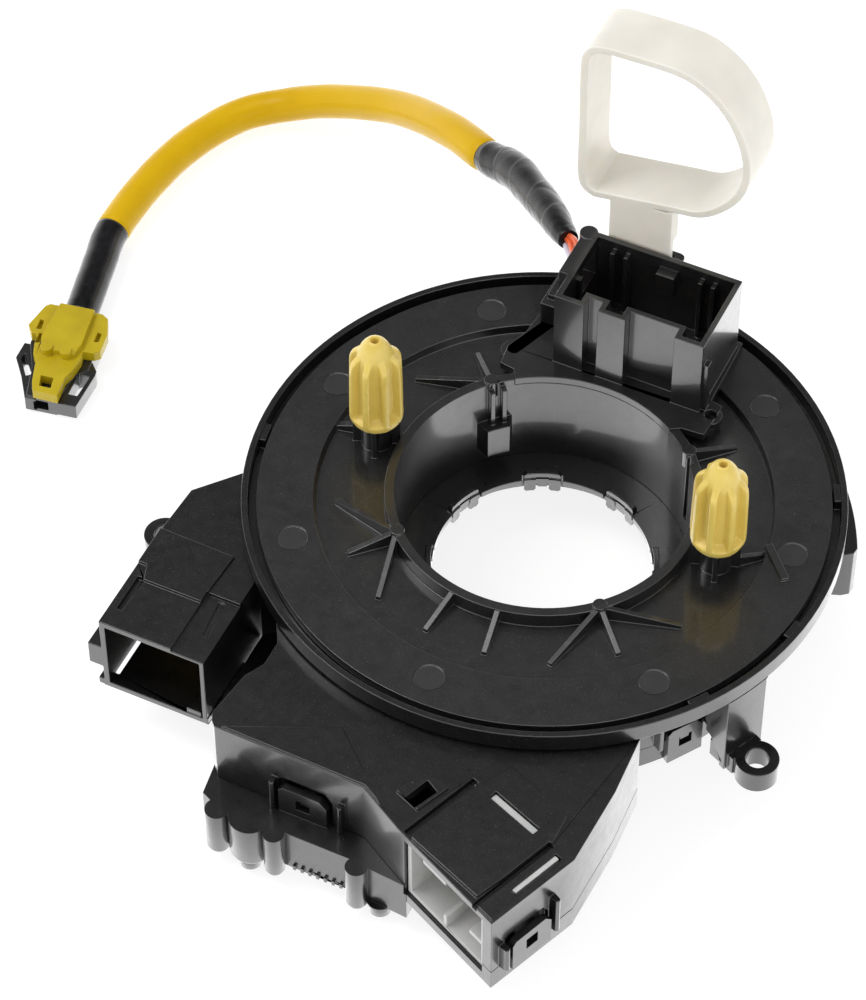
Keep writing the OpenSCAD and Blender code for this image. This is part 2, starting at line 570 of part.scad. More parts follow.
module ribbon_cable() {
    r0 = hub_ro + 2.2;
    p = (43.5 - r0)/(ribbon_turns + 0.35);
    n = ribbon_turns*24 + 8;
    color([0.85, 0.52, 0.20]) translate([0, 0, 7.5]) linear_extrude(ribbon_w)
        polygon(concat(
            [for (i = [0:n]) polar(r0 + p*i/24, 160 + i*15)],
            [for (i = [n:-1:0]) polar(r0 + p*i/24 + ribbon_t, 160 + i*15)]));
}

module bush() {
    color([0.93, 0.84, 0.42]) difference() {
        union() {
            rotate_extrude($fn = 48) polygon([[0, 0], [4.1, 0], [4.6, 0.5], [4.9, 1.4],
                [4.9, 2.2], [3.5, 2.6], [3.5, 15.6], [3.35, 17], [2.9, 18.3], [2.1, 19.5],
                [1.2, bush_h], [0, bush_h]]);
            for (i = [0:7]) rotate(4 + 45*i) rotate([90, 0, 0])
                linear_extrude(1.5, center = true) polygon([[0, 0.9], [4.7, 0.9], [5.1, 1.9],
                    [5.15, 6], [5.05, 13.5], [4.9, 15.2], [4.3, 16.5], [3.2, 17.3], [0, 17.3]]);
        }
        translate([0, 0, -1]) cylinder(r = 2.55, h = 17.6);
        cylinder(r = 0.8, h = 40, $fn = 32);
    }
}
module left_bush() { translate([-post_x, 0, cap_z]) bush(); }
module right_bush() { translate([post_x, 0, cap_z]) bush(); }

// ---------------------------------------------------------------- lead
// route of the lead's centre line, from the socket to the airbag plug
route = [[-13.5,45,37.6],[-17.6,47.6,36.5],[-25.7,56,33.6],[-36,65,29.8],[-43.4,69,26.8],
    [-55.4,77.2,21.7],[-71.3,87.5,11.6],[-87.2,92.3,2.6],[-98.9,92,-3],[-107.4,86.3,-4.75],
    [-112.8,74,-4.75],[-115,60.4,-4.75],[-115.1,46.7,-4.75],[-113.4,39,-4.75],
    [-111.5,31.2,-4.75],[-109.6,23.4,-4.75],[-107.7,15.6,-4.75]];
function at(P, t) = let (n = len(P), i = min(floor(t), n - 2), u = t - i)
    cr(P[max(i - 1, 0)], P[i], P[i + 1], P[min(i + 2, n - 1)], u);
function dir(P, t) = let (d = at(P, min(t + 0.02, len(P) - 1)) - at(P, max(t - 0.02, 0))) d/norm(d);
module sweep(P, t0, t1, r, n, m = 12) {
    pts = [for (i = [0:n]) let (t = t0 + (t1 - t0)*i/n, T = dir(P, t),
        c = cross(T, [0, 0, 1]), S = c/norm(c), U = cross(S, T))
        for (k = [0:m-1]) at(P, t) + r*(cos(360*k/m)*S + sin(360*k/m)*U)];
    side = [for (i = [0:n-1], k = [0:m-1]) let (a = i*m + k, b = i*m + (k + 1)%m)
        each [[a, b, b + m], [a, b + m, a + m]]];
    polyhedron(pts, concat(side, [[for (k = [m-1:-1:0]) k]], [[for (k = [0:m-1]) n*m + k]]));
}
module wire_cover() {
    color([0.09, 0.09, 0.095]) difference() {
        union() {
            translate([-17.6, 36.4, base_top + 0.05]) cube([4.2, 8.4, 5]);
            translate([-16.9, 38, base_top + 5]) cube([3.5, 5, 1.2]);
        }
        translate([-16.2, 37.8, base_top + 2]) cube([2.2, 10, 2]);
    }
}
module lead_wires() {
    color([0.85, 0.32, 0.18]) sweep([[-9.8,40.4,36.8],[-12,41.3,37.2],[-14,43,37.6],[-14.8,45,37.4]], 0, 3, 0.55, 6, 8);
    color([0.86, 0.84, 0.88]) sweep([[-9.8,40.4,35.4],[-12,41,35.6],[-14.2,42.6,35.8],[-15.6,44.5,36.2]], 0, 3, 0.55, 6, 8);
    color([0.9, 0.45, 0.2]) sweep([[-9.8,41.8,36.8],[-11.8,42.5,37.7],[-14,43.4,38.9],[-15.2,45.3,39.1]], 0, 3, 0.55, 6, 8);
}
module lead_tape() { color([0.10, 0.10, 0.11]) sweep(route, 0.9, 4, 3.2, 8); }
module lead_sheath() { color([0.95, 0.72, 0.05]) sweep(route, 4, 12, sheath_d/2, 20); }
module lead_shrink() { color([0.07, 0.07, 0.08]) sweep(route, 12, 15, sheath_d/2, 7); }

// airbag plug, local +X along the lead
module plug() { translate([-109.5, 23.3, 0]) rotate(-79.6) children(); }
module squib_body() {
    color([0.07, 0.07, 0.08]) plug() difference() {
        union() {
            slab([[0.1,-6],[3,-7.2],[9,-7],[12,-5.8],[15,-4.6],[22,-3.4],[22,2.6],[15,4],
                [13,6],[4,6.2],[0.1,5]], rest_z, rest_z + 4.2);
            // side latches: arm, block and strut
            slab([[9,-8.2],[13,-8.6],[17.4,-6],[22.4,-3.6],[22.4,-1.4],[20,-1.2],[9,-5]], rest_z + 0.5, rest_z + 3.9);
            slab([[9,5],[12.4,7.6],[13.6,7.7],[22.2,6.6],[22.2,2],[9,2]], rest_z + 0.5, rest_z + 3.9);
        }
        slab([[11.6,-7.2],[13,-7.5],[17,-5.2],[16.4,-4.2]], rest_z - 1, rest_z + 6);
        slab([[14.2,4.6],[19.4,4.2],[19.4,6],[14.2,6.8]], rest_z - 1, rest_z + 6);
        // mouth at the nose
        translate([19.6, -1.9, rest_z + 1]) cube([4, 2.8, 2.2]);
    }
}
module squib_cover() {
    color([0.93, 0.78, 0.08]) plug() {
        difference() {
            slab([[0.3,-5.6],[1,-6.4],[6.6,-8],[8.4,-6.8],[8.4,-5.8],[12.2,-5],[13.6,-4.6],
                [14,-4.2],[15.2,-3.6],[20.2,-2.6],[22.4,-1.8],[22.6,3.2],[17.8,3.2],[15.8,4],
                [12.4,4.6],[10.6,4.4],[10.4,6.6],[9.6,7.6],[5.2,7.6],[1.2,6.4],[0.3,5]],
                rest_z + 4.25, rest_z + 6.6);
            // window at the nose
            slab([[18.4,-1.4],[21,-0.9],[21,1.4],[18.4,1.1]], rest_z + 3, rest_z + 9);
            // slots
            for (p = [[4.6,-6.2],[8,-5.2],[5,5.6]]) slab([[p[0],p[1]],[p[0]+2.6,p[1]],[p[0]+2.4,p[1]+1],[p[0]+0.2,p[1]+0.8]], rest_z + 5.4, rest_z + 9);
        }
        // raised middle with two bumps
        slab([[0.6,-3.4],[9.8,-4.2],[12.6,-3.4],[12.6,3.2],[9.8,4],[0.6,3.6]], rest_z + 6.5, rest_z + 7.8);
        for (y = [-2.2, 1.6]) translate([12.4, y, rest_z + 6.4]) cylinder(r = 1.2, h = 1.9, $fn = 32);
    }
}

// ---------------------------------------------------------------- lock
module shipping_lock() {
    o = round_loop(loop_plan, 4);
    color([0.93, 0.92, 0.88]) {
        difference() {
            translate([0, 47 + loop_depth, 0]) rotate([90, 0, 0]) linear_extrude(loop_depth) polygon(o);
            translate([0, 48 + loop_depth, 0]) rotate([90, 0, 0]) linear_extrude(loop_depth + 2)
                polygon(inset(o, strip_t));
        }
        // stem, and the tongue that goes through the rotor disc
        translate([-9.1, 47, 26]) cube([12.2, strip_t, 26]);
        translate([-7.6, 47, shelf_z + 0.15]) cube([9.2, strip_t, 6]);
        translate([-9.1, 47, 44]) cube([1.2, 3.4, 7.2]);
        translate([1.9, 47, 44]) cube([1.2, 3.4, 8.4]);
    }
}

// ---------------------------------------------------------------- pick-up gears
module pickup_gear(n) {
    difference() {
        union() {
            translate([0, 0, 3.9]) linear_extrude(2.1) gear2d(n, gear_m);
            translate([0, 0, 2.25]) cylinder(r = 3.4, h = 2);
            cylinder(r = 2.5, h = 3);
            translate([0, 0, 5.5]) cylinder(r = 1.03, h = 1.6, $fn = 48);
        }
        translate([0, 0, -1]) cylinder(r = 1.9, h = 2.4, $fn = 48);
    }
}
// each gear is turned so that a gap meets the ring's tooth on the centre line
function ring_phase(a) = let (q = 360/ring_teeth) a - q*round(a/q);
module at_gear(r, a, n) {
    ph = ring_phase(a);
    translate([r*cos(a), r*sin(a), 0])
        rotate(a + 180 + 180/n + ph*ring_teeth/n) children();
}
module sensor_gear_a() { color([0.9, 0.9, 0.88]) at_gear(ga_r, ga_a, gear_a_teeth) pickup_gear(gear_a_teeth); }
module sensor_gear_b() { color([0.9, 0.9, 0.88]) at_gear(gb_r, gb_a, gear_b_teeth) pickup_gear(gear_b_teeth); }
module magnet_a() { color([0.4, 0.4, 0.42]) translate([ga_r*cos(ga_a), ga_r*sin(ga_a), 0.05]) cylinder(r = 1.87, h = 1.3, $fn = 48); }
module magnet_b() { color([0.4, 0.4, 0.42]) translate([gb_r*cos(gb_a), gb_r*sin(gb_a), 0.05]) cylinder(r = 1.87, h = 1.3, $fn = 48); }

upper_case();
base_cover();
harness_connector();
harness_pins();
socket_pins();
gear_carrier();
gear_lid();
sensor_board();
sensor_chips();
outer_terminal_block();
rotor_disc();
hub_sleeve();
drive_ring_gear();
tower_housing();
tower_pins();
inner_terminal_block();
ribbon_cable();
left_bush();
right_bush();
wire_cover();
lead_wires();
lead_tape();
lead_sheath();
lead_shrink();
squib_body();
squib_cover();
shipping_lock();
sensor_gear_a();
sensor_gear_b();
magnet_a();
magnet_b();
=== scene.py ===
"""Looks of the steering clock spring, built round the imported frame."""
import json
import math

import bmesh
import bpy
import numpy as np
from mathutils import Matrix, Vector

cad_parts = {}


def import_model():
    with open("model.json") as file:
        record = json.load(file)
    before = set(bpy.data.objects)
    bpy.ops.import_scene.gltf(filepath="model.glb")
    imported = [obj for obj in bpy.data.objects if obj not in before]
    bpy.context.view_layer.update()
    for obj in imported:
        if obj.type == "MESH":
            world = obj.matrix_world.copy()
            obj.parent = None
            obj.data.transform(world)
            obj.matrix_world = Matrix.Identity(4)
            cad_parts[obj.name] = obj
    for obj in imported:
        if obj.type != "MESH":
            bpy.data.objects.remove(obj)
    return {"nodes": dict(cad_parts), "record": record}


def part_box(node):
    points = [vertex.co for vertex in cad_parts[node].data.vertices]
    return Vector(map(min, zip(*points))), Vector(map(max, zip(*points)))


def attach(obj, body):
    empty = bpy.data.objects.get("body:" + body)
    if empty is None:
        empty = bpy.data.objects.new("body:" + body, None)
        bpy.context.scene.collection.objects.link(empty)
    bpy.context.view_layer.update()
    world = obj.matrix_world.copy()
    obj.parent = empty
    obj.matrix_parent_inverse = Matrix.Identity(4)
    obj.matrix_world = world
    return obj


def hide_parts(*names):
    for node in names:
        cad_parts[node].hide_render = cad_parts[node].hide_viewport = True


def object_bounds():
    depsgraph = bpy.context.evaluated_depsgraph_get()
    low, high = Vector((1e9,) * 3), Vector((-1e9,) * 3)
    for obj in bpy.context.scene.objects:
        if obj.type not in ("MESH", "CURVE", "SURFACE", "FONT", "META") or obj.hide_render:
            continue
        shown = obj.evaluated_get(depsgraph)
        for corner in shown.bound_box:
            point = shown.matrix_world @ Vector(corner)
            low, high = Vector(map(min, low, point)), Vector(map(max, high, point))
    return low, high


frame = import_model()
cad_lo, cad_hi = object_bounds()
scene = bpy.context.scene
N = frame["nodes"]
MM = 0.001


# ------------------------------------------------------------------ camera
def place_camera():
    az, el, roll = math.radians(25.86), math.radians(50.04), math.radians(-0.26)
    tx, ty, dist = -19.8, -1.17, 707.83
    back = Vector((math.sin(az) * math.cos(el), -math.cos(az) * math.cos(el), math.sin(el)))
    right = Vector((math.cos(az), math.sin(az), 0))
    up = back.cross(right)
    at_mm = right * tx + up * ty + back * dist + Vector((0, 0, 23.7))
    r2 = math.cos(roll) * right + math.sin(roll) * up
    u2 = -math.sin(roll) * right + math.cos(roll) * up
    data = bpy.data.cameras.new("camera")
    cam = bpy.data.objects.new("camera", data)
    scene.collection.objects.link(cam)
    data.sensor_width, data.sensor_fit, data.lens = 36, "AUTO", 143.18
    data.clip_start, data.clip_end = 0.05, 20
    m = Matrix((r2, u2, back)).transposed().to_4x4()
    m.translation = at_mm * MM
    cam.matrix_world = m
    scene.camera = cam
    return cam


place_camera()


# ------------------------------------------------------------------ helpers
def lin(*rgb):
    """sRGB 0..255 to linear, with alpha."""
    out = []
    for c in rgb:
        c = c / 255
        out.append(c / 12.92 if c <= 0.04045 else ((c + 0.055) / 1.055) ** 2.4)
    return (*out, 1.0)


def link_new(name, mesh):
    o = bpy.data.objects.new(name, mesh)
    scene.collection.objects.link(o)
    return o


def grid_mesh(name, rings, close=True, caps=True, smooth=True):
    """A tube mesh from rings of points (metres). Each ring has as many points."""
    n, m = len(rings), len(rings[0])
    verts = [tuple(p) for ring in rings for p in ring]
    faces = []
    for i in range(n - 1):
        for k in range(m if close else m - 1):
            a, b = i * m + k, i * m + (k + 1) % m
            faces.append((a, b, b + m, a + m))
    if caps:
        faces.append(tuple(range(m - 1, -1, -1)))
        faces.append(tuple((n - 1) * m + k for k in range(m)))
    me = bpy.data.meshes.new(name)
    me.from_pydata(verts, [], faces)
    me.validate()
    me.update()
    if smooth:
        for p in me.polygons:
            p.use_smooth = len(p.vertices) <= 4
    return me


def catmull(P, t):
    n = len(P)
    i = min(int(math.floor(t)), n - 2)
    u = t - i
    p0, p1, p2, p3 = (np.array(P[j], float) for j in (max(i - 1, 0), i, i + 1, min(i + 2, n - 1)))
    return 0.5 * (2 * p1 + (p2 - p0) * u + (2 * p0 - 5 * p1 + 4 * p2 - p3) * u * u
                  + (3 * p1 - p0 - 3 * p2 + p3) * u ** 3)


def frames_along(P, t0, t1, n):
    """Centres, and two unit vectors across the line, at n + 1 places."""
    out = []
    for i in range(n + 1):
        t = t0 + (t1 - t0) * i / n
        c = catmull(P, t)
        d = catmull(P, min(t + 0.02, len(P) - 1)) - catmull(P, max(t - 0.02, 0))
        d = d / np.linalg.norm(d)
        s = np.cross(d, (0, 0, 1.0))
        s = s / np.linalg.norm(s)
        out.append((t, c, s, np.cross(s, d), d))
    return out


# ------------------------------------------------------------------ the lead
ROUTE = [(-13.5, 45, 37.6), (-17.6, 47.6, 36.5), (-25.7, 56, 33.6), (-36, 65, 29.8),
         (-43.4, 69, 26.8), (-55.4, 77.2, 21.7), (-71.3, 87.5, 11.6), (-87.2, 92.3, 2.6),
         (-98.9, 92, -3), (-107.4, 86.3, -4.75), (-112.8, 74, -4.75), (-115, 60.4, -4.75),
         (-115.1, 46.7, -4.75), (-113.4, 39, -4.75), (-111.5, 31.2, -4.75), (-109.6, 23.4, -4.75),
         (-107.7, 15.6, -4.75)]


def hash01(*k):
    v = math.sin(sum((i + 1) * 12.9898 * x for i, x in enumerate(k))) * 43758.5453
    return v - math.floor(v)


def wave(x, seed):
    """Smooth noise of one variable, -1..1."""
    i = math.floor(x)
    f = x - i
    f = f * f * (3 - 2 * f)
    a, b = hash01(i, seed) * 2 - 1, hash01(i + 1, seed) * 2 - 1
    return a + (b - a) * f


def tube(name, t0, t1, n, m, radius, P=ROUTE):
    """radius(t, angle, along 0..1) in mm."""
    rings = []
    for i, (t, c, s, u, d) in enumerate(frames_along(P, t0, t1, n)):
        ring = []
        for k in range(m):
            a = 2 * math.pi * k / m
            r = radius(t, a, i / n)
            ring.append((c + r * (math.cos(a) * s + math.sin(a) * u)) * MM)
        rings.append(ring)
    return link_new(name, grid_mesh(name, rings))


def lerp(t, pts):
    for (a, va), (b, vb) in zip(pts, pts[1:]):
        if t <= b:
            f = 0 if b == a else (t - a) / (b - a)
            return va + (vb - va) * max(0, f)
    return pts[-1][1]


def core_radius(t):
    if t < 4.2:
        return lerp(t, [(0.9, 1.2), (1.3, 1.35), (1.8, 2.0), (4.0, 2.6), (4.1, 3.38), (4.2, 3.44)])
    if t > 12:
        return 3.0
    return 3.445 + 0.015 * math.sin(t * 9)


core = tube("lead_core", 0.9, 14.98, 190, 28, lambda t, a, w: core_radius(t)
            + 0.01 * math.sin(3 * a + t * 4))
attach(core, "rotor")
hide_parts("lead_sheath")


def tape_radius(t, a, w):
    # pulled tight over the wires, with a few broad dents and soft wraps
    base = lerp(t, [(0.88, 2.0), (1.15, 2.45), (1.5, 2.85), (2.2, 3.35), (3.0, 3.5), (4.0, 3.25)])
    turn = t * 1.7 + a / (2 * math.pi)
    step = 0.07 * ((turn % 1) ** 3)
    dent = 0.16 * wave(t * 2.3 + 0.9 * math.sin(a), 3) * (0.4 + 0.6 * abs(math.sin(a * 0.5 + 0.6)))
    # slanting creases, sharp along their crest
    fine = 0.10 * abs(wave(t * 3.1 + 1.3 * math.cos(a + 1), 7)) + 0.06 * abs(wave(t * 5.3 - 1.7 * math.sin(a - 0.4), 11)) - 0.08
    flat = 0.09 * math.cos(2 * a + 1.3 * t)
    return base + step + dent + fine + flat - 0.2 * max(0, (t - 3.9) / 0.12)


tape = tube("lead_tape_wrap", 0.88, 4.03, 150, 56, tape_radius)
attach(tape, "rotor")
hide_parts("lead_tape")


def shrink_radius(t, a, w):
    lip = 0.04 * math.exp(-((t - 12.03) / 0.05) ** 2)
    body = 3.38 + 0.03 * wave(t * 3 + 0.8 * math.sin(a), 5) + 0.03 * math.cos(2 * a + t)
    return body + lip - 0.1 * max(0, (t - 14.7) / 0.3)


shrink = tube("lead_shrink_sleeve", 11.99, 15.0, 70, 36, shrink_radius)
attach(shrink, "rotor")
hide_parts("lead_shrink")

WIRES = [
    ([(-12, 41.3, 37.2), (-12.9, 42, 37.4), (-14, 43, 37.8), (-16.2, 45.9, 37.4), (-18, 47.6, 36.6)], "orange"),
    ([(-12, 41, 35.4), (-13, 41.8, 35.4), (-14.2, 42.8, 35.6), (-16.6, 45.6, 35.8), (-18, 47.2, 36.0)], "lilac"),
    ([(-11.9, 42.4, 37.9), (-12.6, 43.0, 38.3), (-13.4, 43.9, 38.8), (-15.6, 46.3, 38.2), (-18, 48.0, 36.9)], "orange"),
    ([(-12, 42.2, 36.5), (-13, 43.1, 36.6), (-14.2, 44.3, 36.8), (-16.2, 46.6, 36.8), (-18, 47.8, 36.4)], "pink"),
]


def wires_mesh():
    verts, faces, mats = [], [], []
    for w, (P, colour) in enumerate(WIRES):
        rings = []
        for (t, c, s, u, d) in frames_along(P, 0, len(P) - 1, 28):
            rings.append([(c + 0.56 * (math.cos(a) * s + math.sin(a) * u)) * MM
                          for a in [2 * math.pi * k / 14 for k in range(14)]])
        base, m = len(verts), 14
        verts += [tuple(p) for r in rings for p in r]
        for i in range(len(rings) - 1):
            for k in range(m):
                a, b = base + i * m + k, base + i * m + (k + 1) % m
                faces.append((a, b, b + m, a + m))
                mats.append({"orange": 0, "lilac": 1, "pink": 2}[colour])
        faces.append(tuple(base + k for k in range(m - 1, -1, -1)))
        faces.append(tuple(base + (len(rings) - 1) * m + k for k in range(m)))
        mats += [3, 3]
    me = bpy.data.meshes.new("lead_wire_strands")
    me.from_pydata(verts, [], faces)
    me.update()
    for p, i in zip(me.polygons, mats):
        p.material_index = i
        p.use_smooth = len(p.vertices) == 4
    return me


wires = link_new("lead_wire_strands", wires_mesh())
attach(wires, "rotor")
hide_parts("lead_wires")


# ------------------------------------------------------------------ materials
def new_mat(name):
    m = bpy.data.materials.new(name)
    m.use_nodes = True
    nt = m.node_tree
    nt.nodes.clear()
    out = nt.nodes.new("ShaderNodeOutputMaterial")
    p = nt.nodes.new("ShaderNodeBsdfPrincipled")
    nt.links.new(p.outputs["BSDF"], out.inputs["Surface"])
    return m, nt, p


class G:
    """Small helper that adds nodes to a tree."""

    def __init__(self, nt):
        self.nt = nt
        tc = nt.nodes.new("ShaderNodeTexCoord")
        sc = nt.nodes.new("ShaderNodeVectorMath")
        sc.operation = "SCALE"
        sc.inputs["Scale"].default_value = 1000
        nt.links.new(tc.outputs["Object"], sc.inputs[0])
        self.mm = sc.outputs[0]

    def put(self, node, key, v):
        s = node.inputs[key]
        if isinstance(v, bpy.types.NodeSocket):
            self.nt.links.new(v, s)
        else:
            s.default_value = v

    def noise(self, size, detail=3, rough=0.5, dist=0.0, vec=None):
        n = self.nt.nodes.new("ShaderNodeTexNoise")
        self.nt.links.new(vec or self.mm, n.inputs["Vector"])
        n.inputs["Scale"].default_value = 1 / size
        n.inputs["Detail"].default_value = detail
        n.inputs["Roughness"].default_value = rough
        n.inputs["Distortion"].default_value = dist
        return n.outputs["Fac"]

    def voronoi(self, size, feature="F1"):
        n = self.nt.nodes.new("ShaderNodeTexVoronoi")
        n.feature = feature
        self.nt.links.new(self.mm, n.inputs["Vector"])
        n.inputs["Scale"].default_value = 1 / size
        return n

    def ramp(self, fac, a, b, lo=0.0, hi=1.0):
        n = self.nt.nodes.new("ShaderNodeMapRange")
        n.inputs["From Min"].default_value = a
        n.inputs["From Max"].default_value = b
        n.inputs["To Min"].default_value = lo
        n.inputs["To Max"].default_value = hi
        n.clamp = True
        self.nt.links.new(fac, n.inputs["Value"])
        return n.outputs["Result"]

    def math(self, op, a, b=None, c=None, clamp=False):
        n = self.nt.nodes.new("ShaderNodeMath")
        n.operation = op
        n.use_clamp = clamp
        for i, v in enumerate((a, b, c)):
            if v is not None:
                self.put(n, i, v)
        return n.outputs[0]

    def mix(self, fac, a, b):
        n = self.nt.nodes.new("ShaderNodeMix")
        n.data_type = "RGBA"
        self.put(n, 0, fac)
        self.put(n, 6, a)
        self.put(n, 7, b)
        return n.outputs[2]

    def bump(self, height, strength, dist_mm, normal=None):
        n = self.nt.nodes.new("ShaderNodeBump")
        n.inputs["Strength"].default_value = strength
        n.inputs["Distance"].default_value = dist_mm * MM
        self.nt.links.new(height, n.inputs["Height"])
        if normal is not None:
            self.nt.links.new(normal, n.inputs["Normal"])
        return n.outputs["Normal"]

    def xyz(self):
        n = self.nt.nodes.new("ShaderNodeSeparateXYZ")
        self.nt.links.new(self.mm, n.inputs[0])
        return n.outputs

    def up(self):
        g = self.nt.nodes.new("ShaderNodeNewGeometry")
        n = self.nt.nodes.new("ShaderNodeSeparateXYZ")
        self.nt.links.new(g.outputs["True Normal"], n.inputs[0])
        return n.outputs[2]

    def dust(self, size, radius, share, seed=0.0):
        """Sparse round specks: mask 0..1."""
        vec = self.nt.nodes.new("ShaderNodeVectorMath")
        vec.operation = "ADD"
        self.nt.links.new(self.mm, vec.inputs[0])
        vec.inputs[1].default_value = (seed, seed * 1.7, seed * 0.3)
        v = self.nt.nodes.new("ShaderNodeTexVoronoi")
        self.nt.links.new(vec.outputs[0], v.inputs["Vector"])
        v.inputs["Scale"].default_value = 1 / size
        sep = self.nt.nodes.new("ShaderNodeSeparateColor")
        self.nt.links.new(v.outputs["Color"], sep.inputs[0])
        near = self.math("LESS_THAN", v.outputs["Distance"], radius / size)
        some = self.math("GREATER_THAN", sep.outputs[0], 1 - share)
        return self.math("MULTIPLY", near, some)


def moulded(name, base, rough=0.4, ior=1.5, coat=0.35, coat_rough=0.22, grain=0.10, depth=0.02,
            spark=0.6, tone=0.35, marks=None, dust_share=0.5, streak=0.0):
    """Black moulded plastic: fine grain, uneven sheen, dust."""
    m, nt, p = new_mat(name)
    g = G(nt)
    broad = g.noise(14, 3, 0.55)
    mid = g.noise(2.2, 4, 0.6)
    fine = g.noise(grain, 2, 0.6)
    dark = tuple(c * (1 - tone) for c in base[:3]) + (1,)
    light = tuple(min(1, c * (1 + tone)) for c in base[:3]) + (1,)
    col = g.mix(g.ramp(broad, 0.32, 0.68), dark, light)
    speck = g.ramp(g.noise(0.24, 2, 0.7), 0.60, 0.74)
    col = g.mix(g.math("MULTIPLY", speck, 0.34 * spark), col, lin(112, 113, 116))
    facing = g.ramp(g.up(), 0.55, 0.95)
    d1 = g.dust(0.9, 0.045, 0.35 * dust_share, 3.1)
    d2 = g.dust(2.6, 0.085, 0.30 * dust_share, 17.7)
    d3 = g.dust(0.45, 0.022, 0.45 * dust_share, 41.3)
    dust = g.math("MAXIMUM", g.math("MAXIMUM", d1, d2), d3)
    dust = g.math("MULTIPLY", dust, facing)
    if marks is not None:
        col = marks(g, col)
    col = g.mix(g.math("MULTIPLY", dust, 0.62), col, lin(168, 170, 172))
    nt.links.new(col, p.inputs["Base Color"])
    r = g.ramp(mid, 0.25, 0.75, rough - 0.05, rough + 0.06)
    r = g.math("ADD", r, g.math("MULTIPLY", dust, 0.3), clamp=True)
    nt.links.new(r, p.inputs["Roughness"])
    p.inputs["IOR"].default_value = ior
    p.inputs["Coat Weight"].default_value = coat
    p.inputs["Coat Roughness"].default_value = coat_rough
    h = g.math("ADD", g.math("MULTIPLY", fine, 0.5), g.math("MULTIPLY", mid, 0.9))
    nt.links.new(g.bump(h, 0.35, depth), p.inputs["Normal"])
    return m


def pale(name, dark, light, rough=0.4, sss=0.0, sss_mm=1.0, coat=0.2, grain=0.3, depth=0.02,
         blotch=6.0, dirt=0.0, dirt_colour=(90, 85, 75), spec=0.5):
    """Light moulded plastic."""
    m, nt, p = new_mat(name)
    g = G(nt)
    broad = g.noise(blotch, 3, 0.5)
    mid = g.noise(blotch / 6, 3, 0.6)
    fine = g.noise(grain, 2, 0.5)
    col = g.mix(g.ramp(broad, 0.3, 0.7), dark, light)
    if dirt:
        spots = g.dust(1.3, 0.06, 0.35, 9.3)
        col = g.mix(g.math("MULTIPLY", spots, dirt), col, lin(*dirt_colour))
    nt.links.new(col, p.inputs["Base Color"])
    nt.links.new(g.ramp(mid, 0.25, 0.75, rough - 0.05, rough + 0.07), p.inputs["Roughness"])
    p.inputs["Coat Weight"].default_value = coat
    p.inputs["Coat Roughness"].default_value = 0.25
    if sss:
        p.inputs["Subsurface Weight"].default_value = sss
        p.inputs["Subsurface Radius"].default_value = (1.0, 0.85, 0.6)
        p.inputs["Subsurface Scale"].default_value = sss_mm * MM
    p.inputs["Specular IOR Level"].default_value = spec
    h = g.math("ADD", g.math("MULTIPLY", fine, 0.6), mid)
    nt.links.new(g.bump(h, 0.3, depth), p.inputs["Normal"])
    return m


def paler_flat_ring_top(g, col):
    """Paints the up-facing faces of the rotor's flat ring, 22.9 to 23.05 mm up, a little paler all round."""
    z = g.xyz()[2]
    low = g.math("LESS_THAN", z, 23.05)
    high = g.math("GREATER_THAN", z, 22.9)
    mask = g.math("MULTIPLY", g.math("MULTIPLY", low, high), g.ramp(g.up(), 0.5, 0.9))
    return g.mix(g.math("MULTIPLY", mask, 0.22), col, lin(74, 74, 76))


MAT = {}
MAT["case_black"] = moulded("case_black", lin(10, 10, 11), rough=0.31, ior=1.5, coat=0.5, coat_rough=0.12, spark=1.0)
MAT["cover_black"] = moulded("cover_black", lin(12, 12, 13), rough=0.32, ior=1.5, coat=0.5, coat_rough=0.12)
MAT["rotor_black"] = moulded("rotor_black", lin(19, 19, 20), rough=0.33, ior=1.56, coat=0.8, coat_rough=0.10,
                             marks=paler_flat_ring_top, grain=0.16, spark=1.0)
MAT["inner_dark"] = moulded("inner_dark", lin(16, 16, 17), rough=0.5, coat=0.1, dust_share=0.1)
MAT["plug_black"] = moulded("plug_black", lin(20, 20, 22), rough=0.30, ior=1.55, coat=0.5)
MAT["sleeve_black"] = moulded("sleeve_black", lin(24, 24, 25), rough=0.3, ior=1.6, coat=0.8, coat_rough=0.12)
MAT["connector_grey"] = pale("connector_grey", lin(186, 187, 186), lin(200, 200, 199), rough=0.5,
                             sss=0.2, sss_mm=0.6, coat=0.1)
MAT["gear_white"] = pale("gear_white", lin(224, 223, 214), lin(236, 235, 228), sss=0.3, sss_mm=0.6)
MAT["board_green"] = pale("board_green", lin(20, 92, 58), lin(28, 112, 70), rough=0.35)
MAT["ribbon_amber"] = pale("ribbon_amber", lin(196, 120, 48), lin(222, 150, 70), rough=0.3)
MAT["bush_yellow"] = pale("bush_yellow", lin(214, 186, 84), lin(228, 202, 104), rough=0.4,
                          sss=0.15, sss_mm=0.5, grain=0.25, dirt=0.25, dirt_colour=(180, 150, 70))
MAT["plug_yellow"] = pale("plug_yellow", lin(180, 156, 8), lin(194, 172, 16), rough=0.42, spec=0.3,
                          sss=0.1, sss_mm=0.4, coat=0.1)
MAT["lock_white"] = pale("lock_white", lin(222, 219, 210), lin(232, 229, 221), rough=0.5,
                         sss=0.5, sss_mm=2.0, coat=0.05, grain=0.2, blotch=9)
MAT["sheath_yellow"] = pale("sheath_yellow", lin(208, 164, 2), lin(220, 178, 4), rough=0.4, spec=0.12,
                            sss=0.1, sss_mm=0.6, coat=0.1, grain=0.6, depth=0.015, blotch=16,
                            dirt=0.35, dirt_colour=(120, 80, 20))
MAT["wire_orange"] = pale("wire_orange", lin(222, 92, 48), lin(238, 112, 66), rough=0.35)
MAT["wire_lilac"] = pale("wire_lilac", lin(214, 208, 226), lin(230, 226, 238), rough=0.35)
MAT["wire_pink"] = pale("wire_pink", lin(226, 150, 128), lin(238, 170, 150), rough=0.35)


